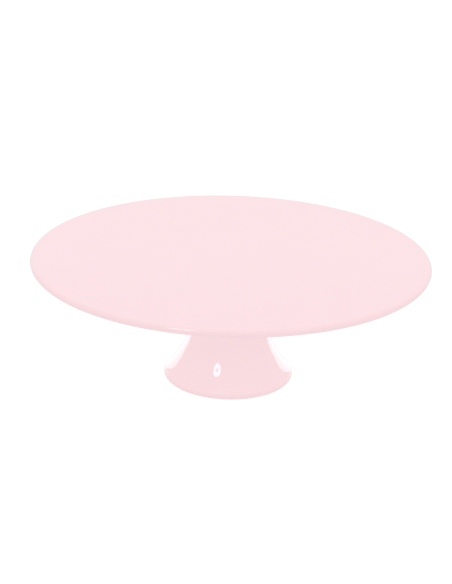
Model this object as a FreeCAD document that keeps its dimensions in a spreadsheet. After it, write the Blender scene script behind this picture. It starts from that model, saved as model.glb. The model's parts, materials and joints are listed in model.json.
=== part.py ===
import FreeCAD, Part
import math
import operator
import os

import Sketcher

# A revolving cake stand. A round plate turns on a flared foot: the foot holds a bearing housing in its
# neck, the plate's spindle runs in two bushes in that housing, and the plate's weight rests on a thrust
# ball bearing. Lengths are in millimetres, +Z is up, and the origin is the centre of the footprint.

# Every driving dimension: its name in the sheet, its value, and what it measures.
DIMENSIONS = [
    ("total_height", 95.0, "worktop to the plate's top face"),
    ("plate_dia", 290.0, "plate, over its rounded edge"),
    ("rim_round", 2.75, "radius of the plate's half-round edge"),
    ("rim_land", 9.0, "flat underside of the thicker rim"),
    ("rim_taper", 14.0, "slope from the rim up to the web"),
    ("plate_web", 4.5, "thickness of the plate inside its rim"),
    ("boss_depth", 4.5, "plate's central boss, below the web"),
    ("foot_dia", 95.0, "foot, over its rounded lip"),
    ("lip_round", 3.6, "radius of the foot's lip"),
    ("neck_dia", 53.4, "narrowest part of the foot"),
    ("neck_level", 55.7, "neck, above the worktop"),
    ("foot_wall", 4.0, "wall of the foot"),
    ("foot_gap", 1.0, "running gap between foot and plate boss"),
    ("top_round", 1.2, "round on the foot's top edge"),
    ("ring_proud", 0.4, "rubber ring, below the foot"),
    ("ring_seat", 1.4, "depth of the rubber ring's groove"),
    ("ring_width", 2.8, "rubber ring, across"),
    ("ring_dia", 83.6, "rubber ring, at mid width"),
    ("ring_chamfer", 0.3, "chamfer on the rubber ring"),
    ("cover_bore", 77.2, "recess that takes the cover"),
    ("cover_fit", 0.2, "gap round the cover"),
    ("cover_level", 3.0, "cover's lower face, above the worktop"),
    ("cover_thick", 2.5, "cover"),
    ("rib_dia", 42.0, "cover's stiffening rib, at mid width"),
    ("rib_width", 2.0, "that rib, across"),
    ("rib_depth", 1.2, "that rib, below the cover"),
    ("cover_pitch", 63.0, "pitch circle of the cover screws"),
    ("cover_count", 3, "cover screws"),
    ("post_dia", 9.0, "posts that take the cover screws"),
    ("post_height", 12.0, "those posts, above the cover"),
    ("deck_thick", 4.5, "deck that carries the housing"),
    ("deck_bore", 22.0, "hole in the deck for the barrel"),
    ("floor_thick", 5.5, "floor of the housing's cup"),
    ("cup_dia", 44.0, "housing's cup, outside"),
    ("cup_relief", 36.0, "cup, inside above the race seat"),
    ("cup_gap", 1.0, "cup's rim to the hub flange"),
    ("seat_depth", 3.0, "depth of the race seat"),
    ("barrel_dia", 21.0, "housing's barrel, outside"),
    ("barrel_length", 23.5, "barrel, below the cup"),
    ("barrel_relief", 14.0, "barrel's bore between the bushes"),
    ("seal_bore", 37.6, "dust seal, inside"),
    ("seal_width", 1.5, "dust seal, across"),
    ("seal_seat", 1.2, "depth of the dust seal's groove"),
    ("seal_gap", 0.2, "dust seal to the hub flange"),
    ("bearing_height", 10.0, "thrust bearing, over both races"),
    ("race_thick", 3.2, "each race"),
    ("race_dia", 35.0, "races, outside"),
    ("upper_bore", 20.0, "upper race, bore"),
    ("lower_bore", 21.0, "lower race, bore"),
    ("ball_dia", 5.556, "thrust balls, 7/32 inch"),
    ("ball_pitch", 27.5, "pitch circle of the balls"),
    ("ball_count", 12, "thrust balls"),
    ("ball_play", 0.03, "ball to each race"),
    ("track_round", 2.95, "radius of the race tracks"),
    ("cage_bore", 19.6, "ball cage, inside"),
    ("cage_dia", 34.6, "ball cage, outside"),
    ("cage_thick", 2.4, "ball cage"),
    ("pocket_play", 0.08, "ball to its pocket"),
    ("bush_dia", 13.0, "bushes, outside"),
    ("bush_length", 11.0, "each bush, past its flange"),
    ("flange_dia", 19.0, "flange of each bush"),
    ("flange_thick", 1.5, "thickness of that flange"),
    ("bush_play", 0.04, "spindle to bush, on the radius"),
    ("spindle_dia", 10.0, "spindle, where it runs"),
    ("head_dia", 16.0, "spindle's head"),
    ("head_thick", 3.5, "thickness of that head"),
    ("thread_dia", 8.0, "spindle's threaded end"),
    ("thread_past", 2.0, "thread, past the lock nut"),
    ("hub_dia", 53.6, "hub flange"),
    ("hub_thick", 3.0, "thickness of the hub flange"),
    ("spigot_depth", 3.0, "hub's spigot, below its flange"),
    ("hub_pitch", 46.6, "pitch circle of the hub screws"),
    ("hub_count", 4, "hub screws"),
    ("spring_gap", 0.1, "disc spring to the lower bush"),
    ("spring_height", 1.4, "disc spring, over its cone"),
    ("spring_sheet", 0.7, "thickness of the disc spring"),
    ("spring_play", 0.15, "disc spring to the spindle"),
    ("washer_dia", 18.0, "thrust washer and disc spring, outside"),
    ("washer_thick", 1.6, "thrust washer"),
    ("nut_flats", 13.0, "lock nut, across flats"),
    ("nut_hex", 5.8, "lock nut, height of its hexagon"),
    ("crown_height", 2.2, "lock nut's crown, below the hexagon"),
    ("crown_dia", 11.2, "that crown, outside"),
    ("crown_lip", 0.5, "crown's rolled lip, under the collar"),
    ("lip_dia", 8.8, "that lip, inside"),
    ("collar_dia", 9.8, "nylon collar, outside"),
    ("nut_waste", 1.0, "bar that is turned away, past the nut's corners"),
    ("small_thread", 3.0, "hub and cover screws, thread"),
    ("small_head", 5.6, "hub and cover screws, head"),
    ("small_length", 8.0, "hub screws, over all, and cover screws, under the head"),
    ("cone_height", 1.7, "countersunk head"),
    ("pan_height", 2.0, "cover screw's head"),
    ("insert_dia", 4.6, "brass inserts, outside"),
    ("insert_length", 5.0, "brass inserts"),
    ("insert_band", 1.6, "each full-width band of an insert"),
    ("insert_waist", 0.35, "depth of the waist between the bands"),
    ("insert_spare", 1.0, "hole, past its insert"),
    ("deck_pitch", 33.0, "pitch circle of the housing screws"),
    ("deck_count", 3, "housing screws"),
    ("deck_thread", 4.0, "housing screws, thread"),
    ("deck_grip", 4.0, "housing screws, in the housing"),
    ("deck_spare", 0.6, "hole, past its housing screw"),
    ("deck_head", 7.0, "housing screws, head"),
    ("deck_head_height", 2.6, "height of that head"),
    ("deck_washer", 9.0, "housing washers, outside"),
    ("deck_washer_thick", 0.8, "housing washers"),
    ("screw_play", 0.25, "screw to its clearance hole"),
    ("recess_width", 0.9, "arms of the cross recess in a screw's head"),
    ("recess_span", 3.2, "that recess, from tip to tip"),
    ("recess_depth", 1.2, "that recess, from the head's face"),
    ("edge_break", 0.4, "chamfers on metal parts"),
]

doc = FreeCAD.newDocument("revolving_cake_stand")
sheet = doc.addObject("Spreadsheet::Sheet", "Sizes")
sub_parts = []

SIGNS = {
    "+": operator.add,
    "-": operator.sub,
    "*": operator.mul,
    "/": operator.truediv,
    "^": operator.pow,
}


class Size:
    """A length that holds its value and the expression that the document binds to the sheet."""

    def __init__(self, text, value):
        self.text = text
        self.value = value

    def __add__(self, other):
        return joined(self, "+", other)

    def __sub__(self, other):
        return joined(self, "-", other)

    def __mul__(self, other):
        return joined(self, "*", other)

    def __truediv__(self, other):
        return joined(self, "/", other)

    def __pow__(self, other):
        return joined(self, "^", other)

    def __neg__(self):
        return joined(0, "-", self)


def as_size(number):
    return number if isinstance(number, Size) else Size(str(number), number)


def joined(left, sign, right):
    left, right = as_size(left), as_size(right)
    return Size(f"({left.text} {sign} {right.text})", SIGNS[sign](left.value, right.value))


def root(size):
    return Size(f"sqrt({size.text})", math.sqrt(size.value))


class Sheet:
    """The sheet's dimensions, each one an attribute."""


def fill_sheet():
    for row, (name, number, meaning) in enumerate(DIMENSIONS, start=1):
        sheet.set(f"A{row}", meaning)
        sheet.set(f"B{row}", str(number))
        sheet.setAlias(f"B{row}", name)
        setattr(Sheet, name, Size(f"Sizes.{name}", number))
    doc.recompute()


fill_sheet()
S = Sheet

# ------------------------------------------------------ heights and outlines that sub-parts share

BOSS_FACE = S.total_height - S.plate_web - S.boss_depth
HUB_FACE = BOSS_FACE - S.hub_thick
SPIGOT_END = HUB_FACE - S.spigot_depth
HEAD_SEAT = BOSS_FACE - S.head_thick
RACE_SEAT = HUB_FACE - S.bearing_height
BALL_LEVEL = RACE_SEAT + S.bearing_height / 2
CUP_TOP = HUB_FACE - S.cup_gap
DECK_TOP = RACE_SEAT - S.floor_thick
DECK_FACE = DECK_TOP - S.deck_thick
BARREL_END = DECK_TOP - S.barrel_length
SPRING_TOP = BARREL_END - S.flange_thick - S.spring_gap
WASHER_TOP = SPRING_TOP - S.spring_height
NUT_TOP = WASHER_TOP - S.washer_thick
CROWN_TOP = NUT_TOP - S.nut_hex
NUT_END = CROWN_TOP - S.crown_height
SPINDLE_END = NUT_END - S.thread_past
FOOT_TOP = BOSS_FACE - S.foot_gap
COVER_TOP = S.cover_level + S.cover_thick

# The foot's outside is one hollow arc: upright at the neck, and tangent to the round lip below it.
LIP_ACROSS = S.foot_dia / 2 - S.lip_round
LIP_UP = S.ring_proud + S.lip_round
FLARE_RUN = LIP_ACROSS - S.neck_dia / 2
FLARE_RISE = S.neck_level - LIP_UP
FLARE_ROUND = (FLARE_RUN**2 + FLARE_RISE**2 - S.lip_round**2) / ((FLARE_RUN + S.lip_round) * 2)
FLARE_ACROSS = S.neck_dia / 2 + FLARE_ROUND
INNER_ROUND = FLARE_ROUND + S.foot_wall


def flare(level, round_=FLARE_ROUND):
    """How far out the foot's outer or inner arc is at a height."""
    return FLARE_ACROSS - root(round_**2 - (S.neck_level - level) ** 2)


def on_pitch(pitch, path):
    """An outline about its own middle, moved out to a pitch circle."""
    return [(pitch / 2 + corner[0], *corner[1:]) for corner in path]


def block(radius, low, high):
    """A plain round pin or hole, about its own middle."""
    return [(0, low), (radius, low), (radius, high), (0, high)]


def tube(inner, outer, low, high):
    return [(inner, low), (outer, low), (outer, high), (inner, high)]


# ------------------------------------------------------------------- drawing and feature helpers


def pin_down(sketch, index, end, across, up):
    """Ties one end of a line or arc to its place, through the sheet."""
    for kind, axis, size in (("DistanceX", -2, across), ("DistanceY", -1, up)):
        if abs(size.value) < 1e-9:
            sketch.addConstraint(Sketcher.Constraint("PointOnObject", index, end, axis))
            continue
        row = sketch.addConstraint(Sketcher.Constraint(kind, -1, 1, index, end, size.value))
        sketch.setExpression(f"Constraints[{row}]", size.text)


def arc_between(start, end, radius, left):
    """The shorter arc from start to end, which turns left or right."""
    chord = end - start
    across = FreeCAD.Vector(-chord.y, chord.x, 0).normalize() * (1 if left else -1)
    centre = (start + end) * 0.5 + across * math.sqrt(radius**2 - chord.Length**2 / 4)
    first, last = (start, end) if left else (end, start)
    angles = [math.atan2(point.y - centre.y, point.x - centre.x) for point in (first, last)]
    return Part.ArcOfCircle(Part.Circle(centre, FreeCAD.Vector(0, 0, 1), radius), *angles)


def draw(sketch, path, base=0):
    """Draws a closed outline, with its heights taken from base. A corner is (across, up), and one
    that an arc leads to adds the arc's radius and "left" or "right", the way that it turns."""
    corners = [(as_size(corner[0]), as_size(corner[1]) - base) for corner in path]
    places = [FreeCAD.Vector(across.value, up.value, 0) for across, up in corners]
    heads, tails = [], []
    for i, corner in enumerate(path):
        start, end = places[i - 1], places[i]
        if len(corner) == 2:
            index = sketch.addGeometry(Part.LineSegment(start, end))
            heads.append((index, 1))
            tails.append((index, 2))
            continue
        radius, left = corner[2], corner[3] == "left"
        index = sketch.addGeometry(arc_between(start, end, radius.value, left))
        row = sketch.addConstraint(Sketcher.Constraint("Radius", index, radius.value))
        sketch.setExpression(f"Constraints[{row}]", radius.text)
        heads.append((index, 1 if left else 2))
        tails.append((index, 2 if left else 1))
    for i, corner in enumerate(corners):
        sketch.addConstraint(Sketcher.Constraint("Coincident", *tails[i - 1], *heads[i]))
        pin_down(sketch, *tails[i], *corner)


def origin_feature(body, role):
    return next(feature for feature in body.Origin.OriginFeatures if feature.Role == role)


def new_body(label, base):
    """An empty body that stands at a height, which its outlines are measured from."""
    body = doc.addObject("PartDesign::Body", label)
    body.Label = label
    body.AllowCompound = True
    body.setExpression("Placement.Base.z", as_size(base).text)
    sub_parts.append((body, base))
    return body


def new_sketch(body, name, role):
    sketch = body.newObject("Sketcher::SketchObject", name)
    sketch.AttachmentSupport = [(origin_feature(body, role), "")]
    sketch.MapMode = "FlatFace"
    return sketch


def base_of(body):
    return next(base for known, base in sub_parts if known is body)


def settle(body, feature, sign):
    """Makes the feature the body's tip, and stops if it failed or didn't add or cut as it should."""
    before = 0.0 if body.Tip is None or body.Shape.isNull() else body.Shape.Volume
    body.Tip = feature
    doc.recompute()
    if not feature.isValid() or (body.Shape.Volume - before) * sign <= 0:
        raise RuntimeError(f"{body.Label}: {feature.Name} failed")
    return feature


def turn(body, name, path, pitch=None, cut=False):
    """Turns an outline about the body's axis, or about an upright line on a pitch circle."""
    sketch = new_sketch(body, name + "_outline", "XZ_Plane")
    draw(sketch, on_pitch(pitch, path) if pitch else path, base_of(body))
    if pitch:
        across = pitch / 2
        foot, top = FreeCAD.Vector(across.value, 0, 0), FreeCAD.Vector(across.value, 1, 0)
        index = sketch.addGeometry(Part.LineSegment(foot, top), True)
        pin_down(sketch, index, 1, across, as_size(0))
        sketch.addConstraint(Sketcher.Constraint("Vertical", index))
        sketch.addConstraint(Sketcher.Constraint("DistanceY", index, 1, index, 2, 1.0))
    feature = body.newObject("PartDesign::Groove" if cut else "PartDesign::Revolution", name)
    feature.Profile = sketch
    feature.ReferenceAxis = (sketch, ["Axis0" if pitch else "V_Axis"])
    feature.Angle = 360.0
    return settle(body, feature, -1 if cut else 1)


def repeat(body, features, name, count, cut=False):
    """Repeats features round the body's axis."""
    pattern = body.newObject("PartDesign::PolarPattern", name)
    pattern.Originals = features
    pattern.Axis = (origin_feature(body, "Z_Axis"), [""])
    pattern.Angle = 360.0
    pattern.setExpression("Occurrences", count.text)
    return settle(body, pattern, -1 if cut else 1)


def drill_ring(body, name, pitch, count, path):
    """Cuts the same turned hole at each place on a pitch circle."""
    hole = turn(body, name, path, pitch, cut=True)
    repeat(body, [hole], name + "_ring", count, cut=True)


def press_in(body, name, path, cut):
    """Pads or pockets a flat outline upwards from the body's base."""
    sketch = new_sketch(body, name + "_outline", "XY_Plane")
    draw(sketch, path)
    feature = body.newObject("PartDesign::Pocket" if cut else "PartDesign::Pad", name)
    feature.Profile = sketch
    feature.Reversed = cut
    return feature


def turned(label, base, path):
    """A sub-part that is one turned solid."""
    body = new_body(label, base)
    turn(body, label + "_turning", path)
    return body


def turned_ring(label, base, pitch, count, path):
    """A sub-part that is the same turned solid at each place on a pitch circle."""
    body = new_body(label, base)
    one = turn(body, label + "_turning", path, pitch)
    repeat(body, [one], label + "_set", count)
    return body


def screw_ring(label, base, pitch, count, path):
    """Screws with their heads down on the base and a cross recess in each head."""
    body = new_body(label, base)
    one = turn(body, label + "_turning", path, pitch)
    width, tip = S.recess_width / 2, S.recess_span / 2
    cross = [
        (tip, -width),
        (tip, width),
        (width, width),
        (width, tip),
        (-width, tip),
        (-width, width),
        (-tip, width),
        (-tip, -width),
        (-width, -width),
        (-width, -tip),
        (width, -tip),
        (width, -width),
    ]
    recess = press_in(body, label + "_recess", on_pitch(pitch, cross), cut=True)
    recess.setExpression("Length", S.recess_depth.text)
    settle(body, recess, -1)
    repeat(body, [one, recess], label + "_set", count)
    return body


def insert_outline(low):
    """A brass insert: two full-width bands with a waist between them."""
    inner, outer = S.small_thread / 2, S.insert_dia / 2
    waist = outer - S.insert_waist
    high = low + S.insert_length
    return [
        (inner, low),
        (outer, low),
        (outer, low + S.insert_band),
        (waist, low + S.insert_band + S.insert_waist),
        (waist, high - S.insert_band - S.insert_waist),
        (outer, high - S.insert_band),
        (outer, high),
        (inner, high),
    ]


def insert_hole(low):
    return block(S.insert_dia / 2, low, low + S.insert_length + S.insert_spare)


# ------------------------------------------------------------------------------------- the foot


def foot_shell():
    """The flared shell: a round lip, a deck across its neck, and three posts inside."""
    share = S.lip_round / (S.lip_round + FLARE_ROUND)
    toe = (LIP_ACROSS + (FLARE_ACROSS - LIP_ACROSS) * share, LIP_UP + FLARE_RISE * share)
    wall_foot = S.neck_level - root(INNER_ROUND**2 - (FLARE_ACROSS - S.cover_bore / 2) ** 2)
    shoulder = flare(FOOT_TOP - S.top_round)
    body = turned(
        "foot_shell",
        S.ring_proud,
        [
            (S.cover_bore / 2, S.ring_proud),
            (LIP_ACROSS, S.ring_proud),
            (S.foot_dia / 2, LIP_UP, S.lip_round, "left"),
            (*toe, S.lip_round, "left"),
            (S.neck_dia / 2, S.neck_level, FLARE_ROUND, "right"),
            (shoulder, FOOT_TOP - S.top_round, FLARE_ROUND, "right"),
            (shoulder - S.top_round, FOOT_TOP, S.top_round, "left"),
            (flare(FOOT_TOP, INNER_ROUND), FOOT_TOP),
            (flare(DECK_TOP, INNER_ROUND), DECK_TOP, INNER_ROUND, "left"),
            (S.deck_bore / 2, DECK_TOP),
            (S.deck_bore / 2, DECK_FACE),
            (flare(DECK_FACE, INNER_ROUND), DECK_FACE),
            (S.cover_bore / 2, wall_foot, INNER_ROUND, "left"),
        ],
    )
    post = turn(
        body,
        "cover_post",
        block(S.post_dia / 2, COVER_TOP, COVER_TOP + S.post_height),
        S.cover_pitch,
    )
    repeat(body, [post], "cover_posts", S.cover_count)
    drill_ring(body, "insert_hole", S.cover_pitch, S.cover_count, insert_hole(COVER_TOP))
    deck_hole = block(S.deck_thread / 2 + S.screw_play, DECK_FACE, DECK_TOP)
    drill_ring(body, "deck_hole", S.deck_pitch, S.deck_count, deck_hole)
    groove = tube(
        S.ring_dia / 2 - S.ring_width / 2,
        S.ring_dia / 2 + S.ring_width / 2,
        S.ring_proud,
        S.ring_proud + S.ring_seat,
    )
    turn(body, "ring_groove", groove, cut=True)


def anti_slip_ring():
    inner = S.ring_dia / 2 - S.ring_width / 2
    outer = S.ring_dia / 2 + S.ring_width / 2
    top = S.ring_proud + S.ring_seat
    turned(
        "anti_slip_ring",
        0,
        [
            (inner + S.ring_chamfer, 0),
            (outer - S.ring_chamfer, 0),
            (outer, S.ring_chamfer),
            (outer, top),
            (inner, top),
            (inner, S.ring_chamfer),
        ],
    )


def foot_cover():
    """The disc that closes the foot, with a stiffening rib below."""
    low, rib_end = S.cover_level, S.cover_level - S.rib_depth
    rib_inner = S.rib_dia / 2 - S.rib_width / 2
    rib_outer = S.rib_dia / 2 + S.rib_width / 2
    edge = S.cover_bore / 2 - S.cover_fit
    body = turned(
        "foot_cover",
        rib_end,
        [
            (0, low),
            (rib_inner, low),
            (rib_inner, rib_end),
            (rib_outer, rib_end),
            (rib_outer, low),
            (edge - S.edge_break, low),
            (edge, low + S.edge_break),
            (edge, COVER_TOP),
            (0, COVER_TOP),
        ],
    )
    hole = block(S.small_thread / 2 + S.screw_play, low, COVER_TOP)
    drill_ring(body, "screw_hole", S.cover_pitch, S.cover_count, hole)


def cover_fasteners():
    turned_ring(
        "cover_inserts", COVER_TOP, S.cover_pitch, S.cover_count, insert_outline(COVER_TOP)
    )
    head_face = S.cover_level - S.pan_height
    tip = S.cover_level + S.small_length
    head, thread = S.small_head / 2, S.small_thread / 2
    screw = [
        (0, head_face),
        (head - S.edge_break, head_face),
        (head, head_face + S.edge_break),
        (head, S.cover_level),
        (thread, S.cover_level),
        (thread, tip - S.edge_break),
        (thread - S.edge_break, tip),
        (0, tip),
    ]
    screw_ring("cover_screws", head_face, S.cover_pitch, S.cover_count, screw)


# ------------------------------------------------------------------------- the bearing housing


def bearing_housing():
    """A cup for the thrust bearing on the deck, and a barrel for the two bushes through it."""
    bush, relief = S.bush_dia / 2, S.barrel_relief / 2
    seal_inner = S.seal_bore / 2
    seal_outer = seal_inner + S.seal_width
    seal_floor = CUP_TOP - S.seal_seat
    body = turned(
        "bearing_housing",
        BARREL_END,
        [
            (bush, BARREL_END),
            (S.barrel_dia / 2 - S.edge_break, BARREL_END),
            (S.barrel_dia / 2, BARREL_END + S.edge_break),
            (S.barrel_dia / 2, DECK_TOP),
            (S.cup_dia / 2, DECK_TOP),
            (S.cup_dia / 2, CUP_TOP - S.edge_break),
            (S.cup_dia / 2 - S.edge_break, CUP_TOP),
            (seal_outer, CUP_TOP),
            (seal_outer, seal_floor),
            (seal_inner, seal_floor),
            (seal_inner, CUP_TOP),
            (S.cup_relief / 2, CUP_TOP),
            (S.cup_relief / 2, RACE_SEAT + S.seat_depth),
            (S.race_dia / 2, RACE_SEAT + S.seat_depth),
            (S.race_dia / 2, RACE_SEAT),
            (bush, RACE_SEAT),
            (bush, RACE_SEAT - S.bush_length),
            (relief, RACE_SEAT - S.bush_length),
            (relief, BARREL_END + S.bush_length),
            (bush, BARREL_END + S.bush_length),
        ],
    )
    hole = block(S.deck_thread / 2, DECK_TOP, DECK_TOP + S.deck_grip + S.deck_spare)
    drill_ring(body, "thread_hole", S.deck_pitch, S.deck_count, hole)
    turned("dust_seal", seal_floor, tube(seal_inner, seal_outer, seal_floor, HUB_FACE - S.seal_gap))


def bushes():
    bore = S.spindle_dia / 2 + S.bush_play
    body, flange = S.bush_dia / 2, S.flange_dia / 2
    for label, face, out in (("upper_bush", RACE_SEAT, 1), ("lower_bush", BARREL_END, -1)):
        deep = face - S.bush_length * out
        rim = face + S.flange_thick * out
        turned(
            label,
            deep if out == 1 else rim,
            [(bore, deep), (body, deep), (body, face), (flange, face), (flange, rim), (bore, rim)],
        )


def housing_fasteners():
    washer_face = DECK_FACE - S.deck_washer_thick
    washer_bore = S.deck_thread / 2 + S.screw_play
    turned_ring(
        "housing_washers",
        washer_face,
        S.deck_pitch,
        S.deck_count,
        tube(washer_bore, S.deck_washer / 2, washer_face, DECK_FACE),
    )
    head_face = washer_face - S.deck_head_height
    tip = DECK_TOP + S.deck_grip
    head, thread = S.deck_head / 2, S.deck_thread / 2
    screw = [
        (0, head_face),
        (head - S.edge_break, head_face),
        (head, head_face + S.edge_break),
        (head, washer_face),
        (thread, washer_face),
        (thread, tip - S.edge_break),
        (thread - S.edge_break, tip),
        (0, tip),
    ]
    screw_ring("housing_screws", head_face, S.deck_pitch, S.deck_count, screw)


# ----------------------------------------------------------------------------- the thrust bearing


def races():
    """Two flat rings, each with a round track for the balls."""
    middle = S.ball_pitch / 2
    track_depth = BALL_LEVEL - S.ball_dia / 2 - S.ball_play
    lower_top = RACE_SEAT + S.race_thick
    half = root(S.track_round**2 - (track_depth + S.track_round - lower_top) ** 2)
    turned(
        "lower_race",
        RACE_SEAT,
        [
            (S.lower_bore / 2, RACE_SEAT),
            (S.race_dia / 2, RACE_SEAT),
            (S.race_dia / 2, lower_top),
            (middle + half, lower_top),
            (middle - half, lower_top, S.track_round, "right"),
            (S.lower_bore / 2, lower_top),
        ],
    )
    upper_face = HUB_FACE - S.race_thick
    turned(
        "upper_race",
        upper_face,
        [
            (S.upper_bore / 2, upper_face),
            (middle - half, upper_face),
            (middle + half, upper_face, S.track_round, "right"),
            (S.race_dia / 2, upper_face),
            (S.race_dia / 2, HUB_FACE),
            (S.upper_bore / 2, HUB_FACE),
        ],
    )


def balls_and_cage():
    ball = S.ball_dia / 2
    turned_ring(
        "thrust_balls",
        BALL_LEVEL - ball,
        S.ball_pitch,
        S.ball_count,
        [
            (0, BALL_LEVEL - ball),
            (ball, BALL_LEVEL, ball, "left"),
            (0, BALL_LEVEL + ball, ball, "left"),
        ],
    )
    low, high = BALL_LEVEL - S.cage_thick / 2, BALL_LEVEL + S.cage_thick / 2
    body = turned("ball_cage", low, tube(S.cage_bore / 2, S.cage_dia / 2, low, high))
    pocket = block(ball + S.pocket_play, low, high)
    drill_ring(body, "pocket", S.ball_pitch, S.ball_count, pocket)


# -------------------------------------------------------------------------------------- the plate


def cake_plate():
    """A flat plate with a half-round edge, a thicker rim, and a boss that carries on the flare."""
    top, web_face = S.total_height, S.total_height - S.plate_web
    rim_face = top - S.rim_round * 2
    edge = S.plate_dia / 2
    rim_inner = edge - S.rim_round - S.rim_land
    lean = (BOSS_FACE - S.neck_level) / FLARE_ROUND
    blend = S.boss_depth / (-lean + 1)
    boss = flare(BOSS_FACE)
    body = turned(
        "cake_plate",
        BOSS_FACE,
        [
            (0, BOSS_FACE),
            (boss, BOSS_FACE),
            (boss + blend * root(-(lean**2) + 1), web_face, blend, "right"),
            (rim_inner - S.rim_taper, web_face),
            (rim_inner, rim_face),
            (edge - S.rim_round, rim_face),
            (edge, top - S.rim_round, S.rim_round, "left"),
            (edge - S.rim_round, top, S.rim_round, "left"),
            (0, top),
        ],
    )
    drill_ring(body, "insert_hole", S.hub_pitch, S.hub_count, insert_hole(BOSS_FACE))


def plate_hub():
    """The turned disc under the plate: its spigot centres the upper race and holds the spindle."""
    bore, spigot, rim = S.spindle_dia / 2, S.upper_bore / 2, S.hub_dia / 2
    body = turned(
        "plate_hub",
        SPIGOT_END,
        [
            (bore, SPIGOT_END),
            (spigot - S.edge_break, SPIGOT_END),
            (spigot, SPIGOT_END + S.edge_break),
            (spigot, HUB_FACE),
            (rim - S.edge_break, HUB_FACE),
            (rim, HUB_FACE + S.edge_break),
            (rim, BOSS_FACE),
            (S.head_dia / 2, BOSS_FACE),
            (S.head_dia / 2, HEAD_SEAT),
            (bore, HEAD_SEAT),
        ],
    )
    head, hole = S.small_head / 2, S.small_thread / 2 + S.screw_play
    cone_end = HUB_FACE + S.cone_height * (head - hole) / (head - S.small_thread / 2)
    countersink = [(0, HUB_FACE), (head, HUB_FACE), (hole, cone_end), (hole, BOSS_FACE)]
    countersink.append((0, BOSS_FACE))
    drill_ring(body, "screw_hole", S.hub_pitch, S.hub_count, countersink)


def hub_fasteners():
    turned_ring("plate_inserts", BOSS_FACE, S.hub_pitch, S.hub_count, insert_outline(BOSS_FACE))
    tip = HUB_FACE + S.small_length
    thread = S.small_thread / 2
    screw = [
        (0, HUB_FACE),
        (S.small_head / 2, HUB_FACE),
        (thread, HUB_FACE + S.cone_height),
        (thread, tip - S.edge_break),
        (thread - S.edge_break, tip),
        (0, tip),
    ]
    screw_ring("hub_screws", HUB_FACE, S.hub_pitch, S.hub_count, screw)


def spindle():
    run, thread, head = S.spindle_dia / 2, S.thread_dia / 2, S.head_dia / 2
    turned(
        "spindle",
        SPINDLE_END,
        [
            (0, SPINDLE_END),
            (thread - S.edge_break * 2, SPINDLE_END),
            (thread, SPINDLE_END + S.edge_break * 2),
            (thread, WASHER_TOP),
            (run, WASHER_TOP),
            (run, HEAD_SEAT),
            (head, HEAD_SEAT),
            (head, BOSS_FACE - S.edge_break),
            (head - S.edge_break, BOSS_FACE),
            (0, BOSS_FACE),
        ],
    )


def spring_and_washer():
    inner, outer = S.spindle_dia / 2 + S.spring_play, S.washer_dia / 2
    turned(
        "disc_spring",
        WASHER_TOP,
        [
            (inner, SPRING_TOP - S.spring_sheet),
            (outer, WASHER_TOP),
            (outer, WASHER_TOP + S.spring_sheet),
            (inner, SPRING_TOP),
        ],
    )
    turned("thrust_washer", NUT_TOP, tube(S.thread_dia / 2, outer, NUT_TOP, WASHER_TOP))


def lock_nut():
    """A hexagon with a round crown below it, which holds a nylon collar."""
    body = new_body("lock_nut", NUT_END)
    corner, flat = S.nut_flats / root(as_size(3)), S.nut_flats / 2
    hexagon = [
        (corner, 0),
        (corner / 2, flat),
        (-corner / 2, flat),
        (-corner, 0),
        (-corner / 2, -flat),
        (corner / 2, -flat),
    ]
    hexagon = press_in(body, "hexagon", hexagon, cut=False)
    hexagon.setExpression("Length", (S.nut_hex + S.crown_height).text)
    settle(body, hexagon, 1)
    past = corner + S.nut_waste
    chamfer = (past - flat) / 2
    waste = [
        (S.crown_dia / 2, NUT_END),
        (past, NUT_END),
        (past, CROWN_TOP + chamfer),
        (flat, CROWN_TOP),
        (S.crown_dia / 2, CROWN_TOP),
    ]
    turn(body, "crown", waste, cut=True)
    turn(body, "chamfer", [(past, NUT_TOP - chamfer), (past, NUT_TOP), (flat, NUT_TOP)], cut=True)
    collar, lip_top = S.collar_dia / 2, NUT_END + S.crown_lip
    bore = [
        (0, NUT_END),
        (S.lip_dia / 2, NUT_END),
        (S.lip_dia / 2, lip_top),
        (collar, lip_top),
        (collar, CROWN_TOP),
        (S.thread_dia / 2, CROWN_TOP),
        (S.thread_dia / 2, NUT_TOP),
        (0, NUT_TOP),
    ]
    turn(body, "bore", bore, cut=True)
    turned("nut_collar", lip_top, tube(S.thread_dia / 2, collar, lip_top, CROWN_TOP))


def write_parts():
    """Writes one STEP file for each sub-part, once everything in the document is sound."""
    doc.recompute()
    failed = [item.Label for item in doc.Objects if {"Invalid", "Error"} & set(item.State)]
    for body, _ in sub_parts:
        if body.Shape.isNull() or not body.Shape.isValid():
            failed.append(body.Label)
    if failed:
        raise RuntimeError("failed: " + ", ".join(failed))
    os.makedirs("parts", exist_ok=True)
    for body, _ in sub_parts:
        body.Shape.exportStep(f"parts/{body.Label}.step")
        box = body.Shape.optimalBoundingBox(False)
        print(
            f"{body.Label:16s} solids {len(body.Shape.Solids):2d}"
            f"  volume {body.Shape.Volume / 1000:8.3f} cm3  z {box.ZMin:6.2f} to {box.ZMax:6.2f}"
        )


foot_shell()
anti_slip_ring()
foot_cover()
cover_fasteners()
bearing_housing()
bushes()
housing_fasteners()
races()
balls_and_cage()
cake_plate()
plate_hub()
hub_fasteners()
spindle()
spring_and_washer()
lock_nut()
write_parts()
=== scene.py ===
import json
import math

import bmesh
import bpy
from mathutils import Matrix, Vector, noise

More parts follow.
